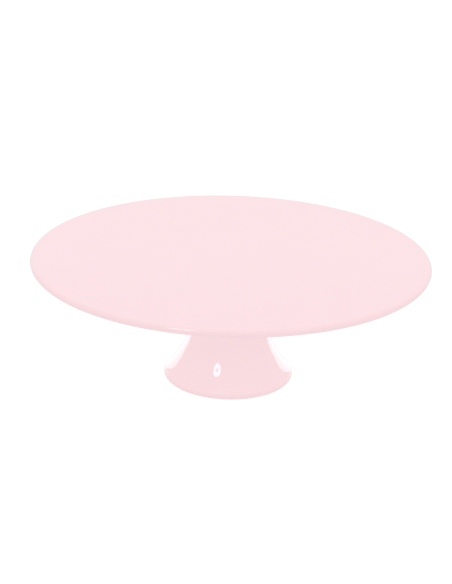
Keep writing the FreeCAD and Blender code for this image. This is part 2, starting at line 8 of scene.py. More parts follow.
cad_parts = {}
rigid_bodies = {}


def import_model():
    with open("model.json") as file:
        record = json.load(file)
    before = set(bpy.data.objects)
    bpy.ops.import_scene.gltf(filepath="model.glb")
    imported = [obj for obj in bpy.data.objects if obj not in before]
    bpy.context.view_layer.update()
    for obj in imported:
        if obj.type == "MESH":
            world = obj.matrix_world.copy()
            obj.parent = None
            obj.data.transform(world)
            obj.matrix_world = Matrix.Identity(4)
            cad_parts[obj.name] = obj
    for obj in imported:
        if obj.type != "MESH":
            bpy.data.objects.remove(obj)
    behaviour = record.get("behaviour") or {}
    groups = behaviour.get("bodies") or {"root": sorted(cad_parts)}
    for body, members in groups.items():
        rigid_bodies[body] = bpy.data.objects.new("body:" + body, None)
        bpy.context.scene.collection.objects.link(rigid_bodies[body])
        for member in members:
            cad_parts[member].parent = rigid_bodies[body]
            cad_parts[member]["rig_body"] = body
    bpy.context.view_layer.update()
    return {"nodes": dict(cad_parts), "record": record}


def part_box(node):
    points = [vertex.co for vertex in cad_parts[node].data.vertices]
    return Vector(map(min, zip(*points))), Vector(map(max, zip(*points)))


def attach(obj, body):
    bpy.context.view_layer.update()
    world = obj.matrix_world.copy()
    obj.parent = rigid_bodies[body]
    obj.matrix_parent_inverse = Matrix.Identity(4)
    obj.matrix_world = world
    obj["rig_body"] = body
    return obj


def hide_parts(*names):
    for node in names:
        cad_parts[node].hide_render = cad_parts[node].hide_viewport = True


# A pale pink revolving cake stand on a white studio floor. Every length is in metres, in the packed
# model's own frame: +Z is up, and the origin is the centre of the footprint, on the floor.

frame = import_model()

MM = 0.001
TURN = 2 * math.pi
# A point nearer to the Z axis than this is on it.
ON_AXIS = 1e-9
# Two radii that differ by less than this are the same.
SAME_RADIUS = 1e-6

# ------------------------------------------------------------------ sizes that the frame gives


def span(node):
    """A CAD part's reach from the middle, and its lowest and highest levels."""
    low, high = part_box(node)
    return high.x, low.z, high.z


PLATE_RADIUS, BOSS_FACE, PLATE_TOP = span("cake_plate")
FOOT_RADIUS, FOOT_BASE, FOOT_TOP = span("foot_shell")
# How far the housing's screws reach up past the deck.
SCREW_GRIP = 4.0 * MM
DECK_TOP = span("housing_screws")[2] - SCREW_GRIP
COVER_TOP = span("foot_cover")[2]

# Sizes inside those boxes, as the parts are made.
LIP_ROUND = 3.6 * MM
NECK_RADIUS = 26.7 * MM
NECK_LEVEL = 55.7 * MM
FOOT_WALL = 4.0 * MM
RING_WIDTH = 2.8 * MM
RING_INNER = span("anti_slip_ring")[0] - RING_WIDTH
BALL_CIRCLE = 13.75 * MM
INSERT_RADIUS = 2.3 * MM
SMALL_THREAD = 1.5 * MM
SMALL_HOLE = 1.75 * MM
SMALL_HEAD = 2.8 * MM
LARGE_THREAD = 2.0 * MM
LARGE_HOLE = 2.25 * MM
BALL_COUNT = 12
COVER_CIRCLE, COVER_COUNT = 31.5 * MM, 3
DECK_CIRCLE, DECK_COUNT = 16.5 * MM, 3
HUB_CIRCLE, HUB_COUNT = 23.3 * MM, 4

# The foot's outside is one hollow arc: upright at the neck, and tangent to the round lip below it.
LIP_ACROSS = FOOT_RADIUS - LIP_ROUND
LIP_UP = FOOT_BASE + LIP_ROUND
FLARE_RUN = LIP_ACROSS - NECK_RADIUS
FLARE_RISE = NECK_LEVEL - LIP_UP
FLARE_ROUND = (FLARE_RUN**2 + FLARE_RISE**2 - LIP_ROUND**2) / (2 * (FLARE_RUN + LIP_ROUND))
FLARE_ACROSS = NECK_RADIUS + FLARE_ROUND
INNER_ROUND = FLARE_ROUND + FOOT_WALL
LIP_TOP = LIP_UP + LIP_ROUND * FLARE_RISE / (FLARE_ROUND + LIP_ROUND)

# --------------------------------------------------------------------------------- outlines
# An outline is a list of (radius, height). It runs outwards along the bottom, up, and back in.


def flare(level, round_=FLARE_ROUND):
    """How far out the foot's outer or inner arc is at a height."""
    return FLARE_ACROSS - math.sqrt(round_**2 - (NECK_LEVEL - level) ** 2)


def flare_line(start, end, round_, steps):
    """Points on the foot's outer or inner arc from one height to another."""
    levels = [start + (end - start) * i / steps for i in range(steps + 1)]
    return [(flare(level, round_), level) for level in levels]


def arc(centre, radius, start, end, steps):
    """Points on an arc from one direction to another, in degrees from straight out."""
    angles = [math.radians(start + (end - start) * i / steps) for i in range(steps + 1)]
    return [(centre[0] + radius * math.cos(a), centre[1] + radius * math.sin(a)) for a in angles]


def direction(centre, point):
    return math.degrees(math.atan2(point[1] - centre[1], point[0] - centre[0]))


def between(start, end, share):
    return tuple(a + (b - a) * share for a, b in zip(start, end))


def ease(start, end, steps):
    """A slope that begins and ends level."""
    points = []
    for i in range(steps + 1):
        share = i / steps
        across, _ = between(start, end, share)
        _, up = between(start, end, share * share * (3 - 2 * share))
        points.append((across, up))
    return points


def rows(radius, low, high, step):
    """Evenly spaced points up a cylinder, for a thread or a fuzzy face."""
    count = max(2, round((high - low) / step))
    return [(radius, low + (high - low) * i / count) for i in range(count + 1)]


def tube(inner, outer, low, high):
    return [(inner, low), (outer, low), (outer, high), (inner, high)]


def turn_at(before, point, after):
    """How sharply an outline turns at a point, in degrees."""
    change = direction(point, after) - direction(before, point)
    return abs((change + 180) % 360 - 180)


# The least turn, in degrees, that counts as a sharp corner.
SHARP_TURN = 20


def rounded(points, size, closed, steps=3):
    """The outline with each sharp corner rounded off."""
    out = []
    count = len(points)
    for i, point in enumerate(points):
        before, after = points[i - 1], points[(i + 1) % count]
        is_end = not closed and i in (0, count - 1)
        if is_end or point[0] < ON_AXIS or turn_at(before, point, after) < SHARP_TURN:
            out.append(point)
            continue
        cut = min(size, math.dist(point, before) / 2.2, math.dist(point, after) / 2.2)
        first = between(point, before, cut / math.dist(point, before))
        last = between(point, after, cut / math.dist(point, after))
        for k in range(steps + 1):
            share = k / steps
            out.append(between(between(first, point, share), between(point, last, share), share))
    return out


# The least turn, in degrees, at the end of a straight run that shading has to stop at.
HELD_TURN = 3.0


def held(points, closed, gap=0.12 * MM):
    """The outline with a point close to each end of its long straight runs, so that smooth shading
    stays flat on them. The short steps of an arc turn too little to need any."""
    out = []
    count = len(points)
    long_run = 8 * gap
    for i, point in enumerate(points):
        out.append(point)
        if i == count - 1 and not closed:
            break
        after = points[(i + 1) % count]
        run = math.dist(point, after)
        turn = turn_at(points[i - 1], point, after)
        turn = max(turn, turn_at(point, after, points[(i + 2) % count]))
        if run > long_run and turn > HELD_TURN:
            out.append(between(point, after, gap / run))
            out.append(between(point, after, 1 - gap / run))
    return out


# ------------------------------------------------------------------------------ mesh helpers


def link(name, mesh):
    piece = bpy.data.objects.new(name, mesh)
    bpy.context.scene.collection.objects.link(piece)
    return piece


def smooth(piece, angle=32):
    piece.data.shade_smooth()
    piece.data.set_sharp_from_angle(angle=math.radians(angle))
    return piece


def lathe(name, outline, segments, closed):
    """Turns an outline about the Z axis. A closed outline stays off the axis, and an open one begins
    and ends on it."""
    verts, faces, rings = [], [], []
    for radius, height in outline:
        if radius < ON_AXIS:
            rings.append([len(verts)])
            verts.append((0.0, 0.0, height))
            continue
        rings.append(list(range(len(verts), len(verts) + segments)))
        for k in range(segments):
            angle = TURN * k / segments
            verts.append((radius * math.cos(angle), radius * math.sin(angle), height))
    pairs = list(zip(rings, rings[1:]))
    if closed:
        pairs.append((rings[-1], rings[0]))
    for low, high in pairs:
        for k in range(segments):
            after = (k + 1) % segments
            if len(low) == 1:
                faces.append((low[0], high[after], high[k]))
            elif len(high) == 1:
                faces.append((low[k], low[after], high[0]))
            else:
                faces.append((low[k], low[after], high[after], high[k]))
    mesh = bpy.data.meshes.new(name)
    mesh.from_pydata(verts, [], faces)
    mesh.validate()
    return smooth(link(name, mesh))


def turned(node, outline, size=0.2 * MM, segments=144):
    """A part from a lathe, with its corners rounded off, named after its node."""
    closed = outline[0][0] > ON_AXIS
    outline = held(rounded(outline, size, closed), closed)
    return lathe(node + "_fine", outline, segments, closed)


def pin(radius, low, high, flared=0.0):
    """A round pin, which others are joined to or cut with. A flared one has a cone at each end, and
    leaves a hole with its edges broken."""
    wide = radius + flared
    outline = [(0, low), (wide, low), (radius, low + flared), (radius, high - flared)]
    outline += [(wide, high), (0, high)]
    if not flared:
        outline = [(0, low), (radius, low), (radius, high), (0, high)]
    return lathe("pin", outline, 64, False)


def prism(corners, low, high, taper=1.0):
    """An upright block with a flat outline, which narrows towards its top by the taper."""
    count = len(corners)
    verts = [(x, y, low) for x, y in corners]
    verts += [(x * taper, y * taper, high) for x, y in corners]
    faces = [tuple(reversed(range(count))), tuple(range(count, 2 * count))]
    faces += [(k, (k + 1) % count, count + (k + 1) % count, count + k) for k in range(count)]
    mesh = bpy.data.meshes.new("prism")
    mesh.from_pydata(verts, [], faces)
    return link("prism", mesh)


def repeat(piece, radius, count):
    """Copies a piece round a pitch circle, all in one mesh, with the first along +X."""
    whole = bmesh.new()
    for k in range(count):
        copy = piece.data.copy()
        place = Matrix.Rotation(TURN * k / count, 4, "Z") @ Matrix.Translation((radius, 0, 0))
        copy.transform(place)
        whole.from_mesh(copy)
        bpy.data.meshes.remove(copy)
    whole.to_mesh(piece.data)
    whole.free()
    return smooth(piece)


# Corners that a cut leaves closer together than this are the same corner.
WELD = 0.0002 * MM


def combine(piece, tool, operation):
    """Joins a tool to the piece, or cuts the piece with it, welds the seam and removes the tool."""
    modifier = piece.modifiers.new("combine", "BOOLEAN")
    modifier.operation = operation
    modifier.solver = "EXACT"
    modifier.object = tool
    bpy.context.view_layer.update()
    graph = bpy.context.evaluated_depsgraph_get()
    piece.data = bpy.data.meshes.new_from_object(piece.evaluated_get(graph))
    piece.modifiers.clear()
    bpy.data.objects.remove(tool)
    seams = bmesh.new()
    seams.from_mesh(piece.data)
    bmesh.ops.remove_doubles(seams, verts=seams.verts, dist=WELD)
    seams.to_mesh(piece.data)
    seams.free()
    return smooth(piece)


def thread(piece, radius, low, high, pitch):
    """Sinks a helical valley into the rows of a turned piece, and fades it out at both ends."""
    depth, root, flank = 0.54 * pitch, 1.3, 3.2
    for vertex in piece.data.vertices:
        x, y, z = vertex.co
        across = math.hypot(x, y)
        if not low < z < high or abs(across - radius) > SAME_RADIUS:
            continue
        phase = (z / pitch - math.atan2(y, x) / TURN) % 1
        valley = min(1.0, max(0.0, root - flank * abs(phase - 0.5)))
        fade = min(1.0, (z - low) / pitch, (high - z) / pitch)
        share = 1 - depth * valley * fade / across
        vertex.co.x, vertex.co.y = x * share, y * share
    return smooth(piece, 50)


# ---------------------------------------------------------------------------------- materials


class Surface:
    """A material made of nodes round one Principled shader."""

    def __init__(self, name):
        self.material = bpy.data.materials.new(name)
        self.material.use_nodes = True
        self.nodes = self.material.node_tree.nodes
        self.links = self.material.node_tree.links
        self.shader = self.nodes["Principled BSDF"]
        self.place = self.nodes.new("ShaderNodeTexCoord").outputs["Object"]
        self.normal = None

    def set(self, socket, value):
        """Sets a socket that is the same all over the surface."""
        self.shader.inputs[socket].default_value = value

    def node(self, kind, **inputs):
        """Adds a node. A value is a number or colour for its socket, or another node's output."""
        made = self.nodes.new(kind)
        for name, value in inputs.items():
            socket = made.inputs[name]
            if isinstance(value, bpy.types.NodeSocket):
                self.links.new(value, socket)
            else:
                socket.default_value = value
        return made

    def noise(self, scale, detail=3.0, roughness=0.55, stretch=None):
        """Noise with about scale features to the metre, from 0 to 1."""
        place = self.place
        if stretch:
            place = self.node("ShaderNodeMapping", Vector=place, Scale=stretch).outputs[0]
        sizes = {"Scale": scale, "Detail": detail, "Roughness": roughness}
        return self.node("ShaderNodeTexNoise", Vector=place, **sizes).outputs["Fac"]

    def spread(self, source, low, high, start=0.3, end=0.7):
        """Maps a noise onto a range."""
        made = self.node("ShaderNodeMapRange", Value=source)
        for name, value in (("From Min", start), ("From Max", end), ("To Min", low), ("To Max", high)):
            made.inputs[name].default_value = value
        return made.outputs["Result"]

    def colour(self, source, first, second):
        """A colour between two, as the source goes from 0 to 1."""
        made = self.nodes.new("ShaderNodeMix")
        made.data_type = "RGBA"
        self.links.new(source, made.inputs["Factor"])
        made.inputs["A"].default_value = (*first, 1.0)
        made.inputs["B"].default_value = (*second, 1.0)
        return next(socket for socket in made.outputs if socket.type == "RGBA")

    def bump(self, source, height):
        """Raises the surface by height metres where the source is 1."""
        made = self.node("ShaderNodeBump", Strength=1.0, Distance=height, Height=source)
        if self.normal is not None:
            self.links.new(self.normal, made.inputs["Normal"])
        self.normal = made.outputs["Normal"]
        self.links.new(self.normal, self.shader.inputs["Normal"])

    def height(self):
        """How high up each point of the surface is, in metres."""
        return self.node("ShaderNodeSeparateXYZ", Vector=self.place).outputs["Z"]

    def total(self, first, second):
        made = self.node("ShaderNodeMath")
        self.links.new(first, made.inputs[0])
        self.links.new(second, made.inputs[1])
        return made.outputs[0]

    def rings(self, spacing):
        """Turning marks: fine circles about the Z axis, from 0 to 1."""
        flat = self.node("ShaderNodeVectorMath", Vector=self.place)
        flat.operation = "MULTIPLY"
        flat.inputs[1].default_value = (1, 1, 0)
        length = self.node("ShaderNodeVectorMath", Vector=flat.outputs[0])
        length.operation = "LENGTH"
        wave = self.node("ShaderNodeMath")
        wave.operation = "MULTIPLY"
        self.links.new(length.outputs["Value"], wave.inputs[0])
        wave.inputs[1].default_value = TURN / spacing
        sine = self.node("ShaderNodeMath")
        sine.operation = "SINE"
        self.links.new(wave.outputs[0], sine.inputs[0])
        return self.spread(sine.outputs[0], 0.0, 1.0, -1.0, 1.0)

    def link_base(self, socket):
        self.links.new(socket, self.shader.inputs["Base Color"])

    def link_roughness(self, socket):
        self.links.new(socket, self.shader.inputs["Roughness"])


def shade(colour, factor):
    return tuple(min(1.0, channel * factor) for channel in colour)


PINK = (0.988, 0.737, 0.773)


def melamine():
    """Pressed melamine: pink right through, glossy, with the faintest mottling and orange peel. The
    foot's lip, which is handled and rubs on the worktop, is worn to a softer gloss."""
    made = Surface("pink_melamine")
    cloud = made.noise(38.0, detail=4.0)
    made.link_base(made.colour(cloud, shade(PINK, 0.988), shade(PINK, 1.008)))
    wear = 0.42
    worn = made.spread(made.height(), wear, 0.0, LIP_TOP - 0.5 * MM, LIP_TOP + 0.3 * MM)
    made.link_roughness(made.total(made.spread(made.noise(160.0), 0.03, 0.06), worn))
    made.bump(made.noise(210.0, detail=1.0), 1.2e-6)
    made.bump(made.noise(3200.0, detail=2.0), 0.08e-6)
    made.set("IOR", 1.5)
    return made.material


def cover_plastic():
    """Moulded plastic with a fine spark-eroded grain."""
    made = Surface("cover_plastic")
    base = (0.86, 0.63, 0.67)
    made.link_base(made.colour(made.noise(60.0), shade(base, 0.96), shade(base, 1.03)))
    made.link_roughness(made.spread(made.noise(900.0), 0.42, 0.58))
    made.bump(made.noise(2600.0, detail=4.0, roughness=0.7), 12e-6)
    return made.material


def rubber():
    made = Surface("ring_rubber")
    base = (0.62, 0.58, 0.58)
    made.link_base(made.colour(made.noise(120.0), shade(base, 0.94), shade(base, 1.04)))
    made.link_roughness(made.spread(made.noise(1500.0), 0.55, 0.75))
    made.bump(made.noise(3000.0, detail=3.0), 8e-6)
    made.set("Sheen Weight", 0.15)
    return made.material


def turned_metal(name, base, rough, marks=0.18 * MM, depth=1.5e-6):
    """Metal from a lathe, with fine circular marks and a little tarnish."""
    made = Surface(name)
    made.link_base(made.colour(made.noise(140.0), shade(base, 0.90), shade(base, 1.05)))
    made.link_roughness(made.spread(made.noise(420.0), *rough))
    made.bump(made.rings(marks), depth)
    made.bump(made.noise(2400.0, detail=2.0), 0.8e-6)
    made.set("Metallic", 1.0)
    return made.material


def grained_metal(name, base, rough, grain, depth):
    """Metal with a grain and no direction: cast, sintered, plated or blued."""
    made = Surface(name)
    made.link_base(made.colour(made.noise(grain / 9), shade(base, 0.84), shade(base, 1.08)))
    made.link_roughness(made.spread(made.noise(grain / 2), *rough))
    made.bump(made.noise(grain, detail=4.0, roughness=0.65), depth)
    made.set("Metallic", 1.0)
    return made.material


def plain_plastic(name, base, rough, grain, depth):
    made = Surface(name)
    made.link_base(made.colour(made.noise(grain / 12), shade(base, 0.9), shade(base, 1.08)))
    made.link_roughness(made.spread(made.noise(grain / 3), *rough))
    made.bump(made.noise(grain, detail=3.0), depth)
    return made.material


def felt():
    made = Surface("felt")
    base = (0.42, 0.40, 0.38)
    made.link_base(made.colour(made.noise(1300.0, stretch=(1, 1, 3)), shade(base, 0.72), shade(base, 1.2)))
    made.link_roughness(made.spread(made.noise(700.0), 0.85, 0.98))
    made.bump(made.noise(1800.0, detail=5.0, roughness=0.75), 90e-6)
    made.set("Sheen Weight", 0.5)
    return made.material


FINISHES = {
    "pink_melamine": melamine(),
    "cover_plastic": cover_plastic(),
    "ring_rubber": rubber(),
    "brass": turned_metal("brass", (0.80, 0.60, 0.28), (0.20, 0.34)),
    "bronze": grained_metal("bronze", (0.62, 0.42, 0.22), (0.38, 0.55), 2200.0, 14e-6),
    "plated_steel": grained_metal("plated_steel", (0.66, 0.67, 0.68), (0.22, 0.38), 900.0, 1.5e-6),
    "spring_steel": grained_metal("spring_steel", (0.26, 0.26, 0.29), (0.28, 0.42), 700.0, 2e-6),
    "bearing_steel": turned_metal("bearing_steel", (0.60, 0.60, 0.61), (0.12, 0.24), 0.09 * MM, 0.6e-6),
    "polished_steel": grained_metal("polished_steel", (0.74, 0.74, 0.75), (0.03, 0.07), 500.0, 0.1e-6),
    "cast_aluminium": grained_metal("cast_aluminium", (0.64, 0.65, 0.66), (0.40, 0.58), 1100.0, 18e-6),
    "turned_aluminium": turned_metal("turned_aluminium", (0.76, 0.77, 0.78), (0.20, 0.32), 0.22 * MM, 3e-6),
    "nylon": plain_plastic("nylon", (0.78, 0.79, 0.76), (0.35, 0.5), 900.0, 4e-6),
    "cage_nylon": plain_plastic("cage_nylon", (0.07, 0.07, 0.075), (0.3, 0.45), 1400.0, 6e-6),
    "felt": felt(),
}
SLOT_OF = {row["node"]: row["material_slot"] for row in frame["record"]["subparts"]}


def dress(piece, slot):
    piece.data.materials.clear()
    piece.data.materials.append(FINISHES[slot])


def stand_for(piece, node):
    """The piece takes a CAD node's place, its body and its finish."""
    slot = SLOT_OF[node]
    dress(piece, slot)
    body = frame["nodes"][node]["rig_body"]
    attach(piece, body)
    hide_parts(node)


# ------------------------------------------------------------------------------------ screws


def cross(face, span_=3.2 * MM, width=0.9 * MM, depth=1.2 * MM):
    """The tapered cross that a screwdriver fits, up into a head whose face is down."""
    tip, half, lead = span_ / 2, width / 2, 0.2 * MM
    quarter = [(tip, -half), (tip, half), (half, half)]
    corners = []
    for k in range(4):
        spin = Matrix.Rotation(TURN * k / 4, 2)
        corners += [tuple(spin @ Vector(corner)) for corner in quarter]
    return prism(corners, face - lead, face + depth, taper=0.66)


def screw(node, head, radius, tip, pitch):
    """One screw about its own middle, head down. The head's outline ends where the shank begins."""
    shank, bevel = head[-1][1], 0.4 * MM
    outline = rounded(head + [(radius, tip)], 0.12 * MM, False)[:-1]
    outline += rows(radius, shank + 0.05 * MM, tip - bevel, pitch / 9)
    outline += [(radius - bevel, tip), (0, tip)]
    piece = lathe(node + "_fine", outline, 54, False)
    thread(piece, radius, shank + 0.3 * MM, tip, pitch)
    return combine(piece, cross(head[0][1]), "DIFFERENCE")


def pan_head(radius, face, seat, shank):
    """A flat round head with a generous round on its edge."""
    soft = 0.9 * MM
    outline = [(0, face)] + arc((radius - soft, face + soft), soft, -90, 0, 8)
    return outline + [(radius, seat), (shank, seat)]


def insert(node, low, high):
    """One brass insert: two knurled bands with a waist between them."""
    band, waist, teeth, depth = 1.6 * MM, 0.35 * MM, 24, 0.16 * MM
    bore, bevel = SMALL_THREAD, 0.15 * MM
    outline = [(bore, low + bevel), (bore + bevel, low), (INSERT_RADIUS - bevel, low)]
    outline += [(INSERT_RADIUS, low + bevel), (INSERT_RADIUS, low + band)]
    outline += [(INSERT_RADIUS - waist, low + band + waist)]
    outline += [(across, low + high - up) for across, up in reversed(outline)]
    piece = lathe(node + "_fine", outline, teeth * 6, True)
    for vertex in piece.data.vertices:
        x, y, _ = vertex.co
        across = math.hypot(x, y)
        if across > INSERT_RADIUS - SAME_RADIUS:
            tooth = abs((math.atan2(y, x) / TURN * teeth) % 1 - 0.5) * 2
            share = 1 - depth * tooth / across
            vertex.co.x, vertex.co.y = x * share, y * share
    return piece


# -------------------------------------------------------------------------------------- the foot


def foot_shell():
    """The flared shell: a round lip, a deck across its neck, and three posts inside."""
    outer, lip = (FLARE_ACROSS, NECK_LEVEL), (LIP_ACROSS, LIP_UP)
    toe = direction(lip, outer)
    cover_bore, deck_bore, deck_thick = 38.6 * MM, 11.0 * MM, 4.5 * MM
    top_round, bevel = 1.2 * MM, 0.3 * MM
    deck_face = DECK_TOP - deck_thick
    wall_foot = NECK_LEVEL - math.sqrt(INNER_ROUND**2 - (FLARE_ACROSS - cover_bore) ** 2)
    shoulder = FOOT_TOP - top_round
    seat = span("anti_slip_ring")[2]
    ring_outer = RING_INNER + RING_WIDTH
    outline = [(cover_bore, FOOT_BASE + bevel), (cover_bore + bevel, FOOT_BASE)]
    outline += [(RING_INNER, FOOT_BASE), (RING_INNER, seat)]
    outline += [(ring_outer, seat), (ring_outer, FOOT_BASE)]
    outline += arc(lip, LIP_ROUND, -90, toe, 28)
    end = direction(outer, (flare(shoulder), shoulder))
    outline += arc(outer, FLARE_ROUND, 180 + toe, end, 84)[1:]
    outline += arc((flare(shoulder) - top_round, shoulder), top_round, 0, 90, 8)[1:]
    outline += flare_line(FOOT_TOP, DECK_TOP, INNER_ROUND, 12)
    outline += [(deck_bore, DECK_TOP), (deck_bore, deck_face)]
    outline += flare_line(deck_face, wall_foot, INNER_ROUND, 44)
    piece = turned("foot_shell", outline, 0.15 * MM, 288)
    post, post_top, hole_top = 4.5 * MM, COVER_TOP + 12 * MM, COVER_TOP + 6 * MM
    posts = repeat(pin(post, COVER_TOP, post_top), COVER_CIRCLE, COVER_COUNT)
    piece = combine(piece, posts, "UNION")
    holes = repeat(pin(INSERT_RADIUS, 0, hole_top), COVER_CIRCLE, COVER_COUNT)
    piece = combine(piece, holes, "DIFFERENCE")
    holes = repeat(pin(LARGE_HOLE, deck_face - MM, DECK_TOP + MM), DECK_CIRCLE, DECK_COUNT)
    stand_for(combine(piece, holes, "DIFFERENCE"), "foot_shell")


def anti_slip_ring():
    """The rubber ring, with four fine ridges that grip the worktop."""
    outer, low, high = span("anti_slip_ring")
    bevel, ridges, dip, lean = 0.3 * MM, 4, 0.25 * MM, 0.06 * MM
    step = (RING_WIDTH - 2 * bevel) / (ridges - 0.4)
    land = 0.6 * step
    outline = []
    for i in range(ridges):
        start = RING_INNER + bevel + i * step
        outline += [(start, low), (start + land, low)]
        if i < ridges - 1:
            outline += [(start + land + lean, low + dip), (start + step - lean, low + dip)]
    outline += [(outer, low + bevel), (outer, high), (RING_INNER, high), (RING_INNER, low + bevel)]
    stand_for(turned("anti_slip_ring", outline, 0.08 * MM, 288), "anti_slip_ring")


def foot_cover():
    """The moulded disc that closes the foot, with its stiffening rib below."""
    edge, rib_end, high = span("foot_cover")
    low, rib_inner, rib_outer = rib_end + 1.2 * MM, 20 * MM, 22 * MM
    draft, past, broken = 0.12 * MM, 0.01 * MM, 0.25 * MM
    outline = [(0, low), (rib_inner - draft, low), (rib_inner, rib_end), (rib_outer, rib_end)]
    outline += [(rib_outer + draft, low), (edge, low), (edge, high), (0, high)]
    piece = turned("foot_cover", outline, 0.4 * MM, 192)
    hole = pin(SMALL_HOLE, low - past, high + past, broken)
    holes = repeat(hole, COVER_CIRCLE, COVER_COUNT)
    stand_for(combine(piece, holes, "DIFFERENCE"), "foot_cover")


def cover_fasteners():
    _, low, high = span("cover_inserts")
    stand_for(repeat(insert("cover_inserts", low, high), COVER_CIRCLE, COVER_COUNT), "cover_inserts")
    _, face, tip = span("cover_screws")
    head = pan_head(SMALL_HEAD, face, face + 2.0 * MM, SMALL_THREAD)
    piece = screw("cover_screws", head, SMALL_THREAD, tip, 0.5 * MM)
    stand_for(repeat(piece, COVER_CIRCLE, COVER_COUNT), "cover_screws")


# -------------------------------------------------------------------------- the bearing housing


def bearing_housing():
    """A cup for the thrust bearing on the deck, and a barrel for the two bushes through it."""
    cup, low, high = span("bearing_housing")
    barrel, bush, relief, bush_length = 10.5 * MM, 6.5 * MM, 7.0 * MM, 11.0 * MM
    seat = DECK_TOP + 5.5 * MM
    seat_top = seat + 3.0 * MM
    race, cup_inner = 17.5 * MM, 18.0 * MM
    seal_inner, seal_outer, seal_floor = 18.8 * MM, 20.3 * MM, high - 1.2 * MM
    outline = [(bush, low), (barrel, low), (barrel, DECK_TOP), (cup, DECK_TOP), (cup, high)]
    outline += [(seal_outer, high), (seal_outer, seal_floor), (seal_inner, seal_floor)]
    outline += [(seal_inner, high), (cup_inner, high), (cup_inner, seat_top), (race, seat_top)]
    outline += [(race, seat), (bush, seat), (bush, seat - bush_length), (relief, seat - bush_length)]
    outline += [(relief, low + bush_length), (bush, low + bush_length)]
    piece = turned("bearing_housing", outline, 0.3 * MM)
    depth = 4.6 * MM
    holes = repeat(pin(LARGE_THREAD, DECK_TOP - depth, DECK_TOP + depth), DECK_CIRCLE, DECK_COUNT)
    stand_for(combine(piece, holes, "DIFFERENCE"), "bearing_housing")


def bushes():
    bore, body = 5.04 * MM, 6.5 * MM
    flange, low, high = span("upper_bush")
    face = high - 1.5 * MM
    outline = [(bore, low), (body, low), (body, face), (flange, face), (flange, high), (bore, high)]
    stand_for(turned("upper_bush", outline, 0.3 * MM), "upper_bush")
    flange, low, high = span("lower_bush")
    face = low + 1.5 * MM
    outline = [(bore, low), (flange, low), (flange, face), (body, face), (body, high), (bore, high)]
    stand_for(turned("lower_bush", outline, 0.3 * MM), "lower_bush")


def housing_fasteners():
    _, low, high = span("housing_washers")
    washer = turned("housing_washers", tube(LARGE_HOLE, 4.5 * MM, low, high), 0.15 * MM, 72)
    stand_for(repeat(washer, DECK_CIRCLE, DECK_COUNT), "housing_washers")
    _, face, tip = span("housing_screws")
    head = pan_head(3.5 * MM, face, face + 2.6 * MM, LARGE_THREAD)
    piece = screw("housing_screws", head, LARGE_THREAD, tip, 0.7 * MM)
    stand_for(repeat(piece, DECK_CIRCLE, DECK_COUNT), "housing_screws")


def dust_seal():
    """A felt ring with a rough, slightly uneven surface."""
    outer, low, high = span("dust_seal")
    inner, soft, step, nap = outer - 1.5 * MM, 0.3 * MM, 0.22 * MM, 0.05 * MM
    outline = [(inner + soft, low), (outer - soft, low)] + rows(outer, low + soft, high - soft, step)
    outline += [(outer - soft, high), ((inner + outer) / 2, high), (inner + soft, high)]
    outline += list(reversed(rows(inner, low + soft, high - soft, step)))
    piece = lathe("dust_seal_fine", outline, 360, True)
    for vertex in piece.data.vertices:
        across = vertex.co.xy.length
        push = noise.noise(vertex.co * 2200.0) * nap
        away = 1 if across > (inner + outer) / 2 else -1
        vertex.co.xy *= 1 - max(0.0, push * away) * away / across
    stand_for(smooth(piece, 60), "dust_seal")


# ---------------------------------------------------------------------------- the thrust bearing


def races():
    """Two ground rings, each with a round track for the balls."""
    track, clear = 2.95 * MM, 0.03 * MM
    _, ball_low, ball_high = span("thrust_balls")
    outer, low, high = span("lower_race")
    up = ball_low - clear + track
    half = math.sqrt(track**2 - (up - high) ** 2)
    lean = direction((0, up), (half, high))
    inner = 10.5 * MM
    outline = [(inner, low), (outer, low), (outer, high)]
    outline += arc((BALL_CIRCLE, up), track, lean, -180 - lean, 16)
    outline += [(inner, high)]
    stand_for(turned("lower_race", outline, 0.25 * MM), "lower_race")
    outer, low, high = span("upper_race")
    up = ball_high + clear - track
    lean = direction((0, up), (half, low))
    inner = 10.0 * MM
    outline = [(inner, low)] + arc((BALL_CIRCLE, up), track, 180 - lean, lean, 16)
    outline += [(outer, low), (outer, high), (inner, high)]
    stand_for(turned("upper_race", outline, 0.25 * MM), "upper_race")


def balls_and_cage():
    _, low, high = span("thrust_balls")
    radius, level = (high - low) / 2, (high + low) / 2
    outline = [(max(0.0, across), up) for across, up in arc((0, level), radius, -90, 90, 28)]
    ball = lathe("thrust_balls_fine", outline, 56, False)
    stand_for(repeat(ball, BALL_CIRCLE, BALL_COUNT), "thrust_balls")
    outer, low, high = span("ball_cage")
    piece = turned("ball_cage", tube(9.8 * MM, outer, low, high), 0.35 * MM, 192)
    play, past, broken = 0.08 * MM, 0.01 * MM, 0.2 * MM
    pocket = pin(radius + play, low - past, high + past, broken)
    pockets = repeat(pocket, BALL_CIRCLE, BALL_COUNT)
    stand_for(combine(piece, pockets, "DIFFERENCE"), "ball_cage")


# -------------------------------------------------------------------------------------- the plate


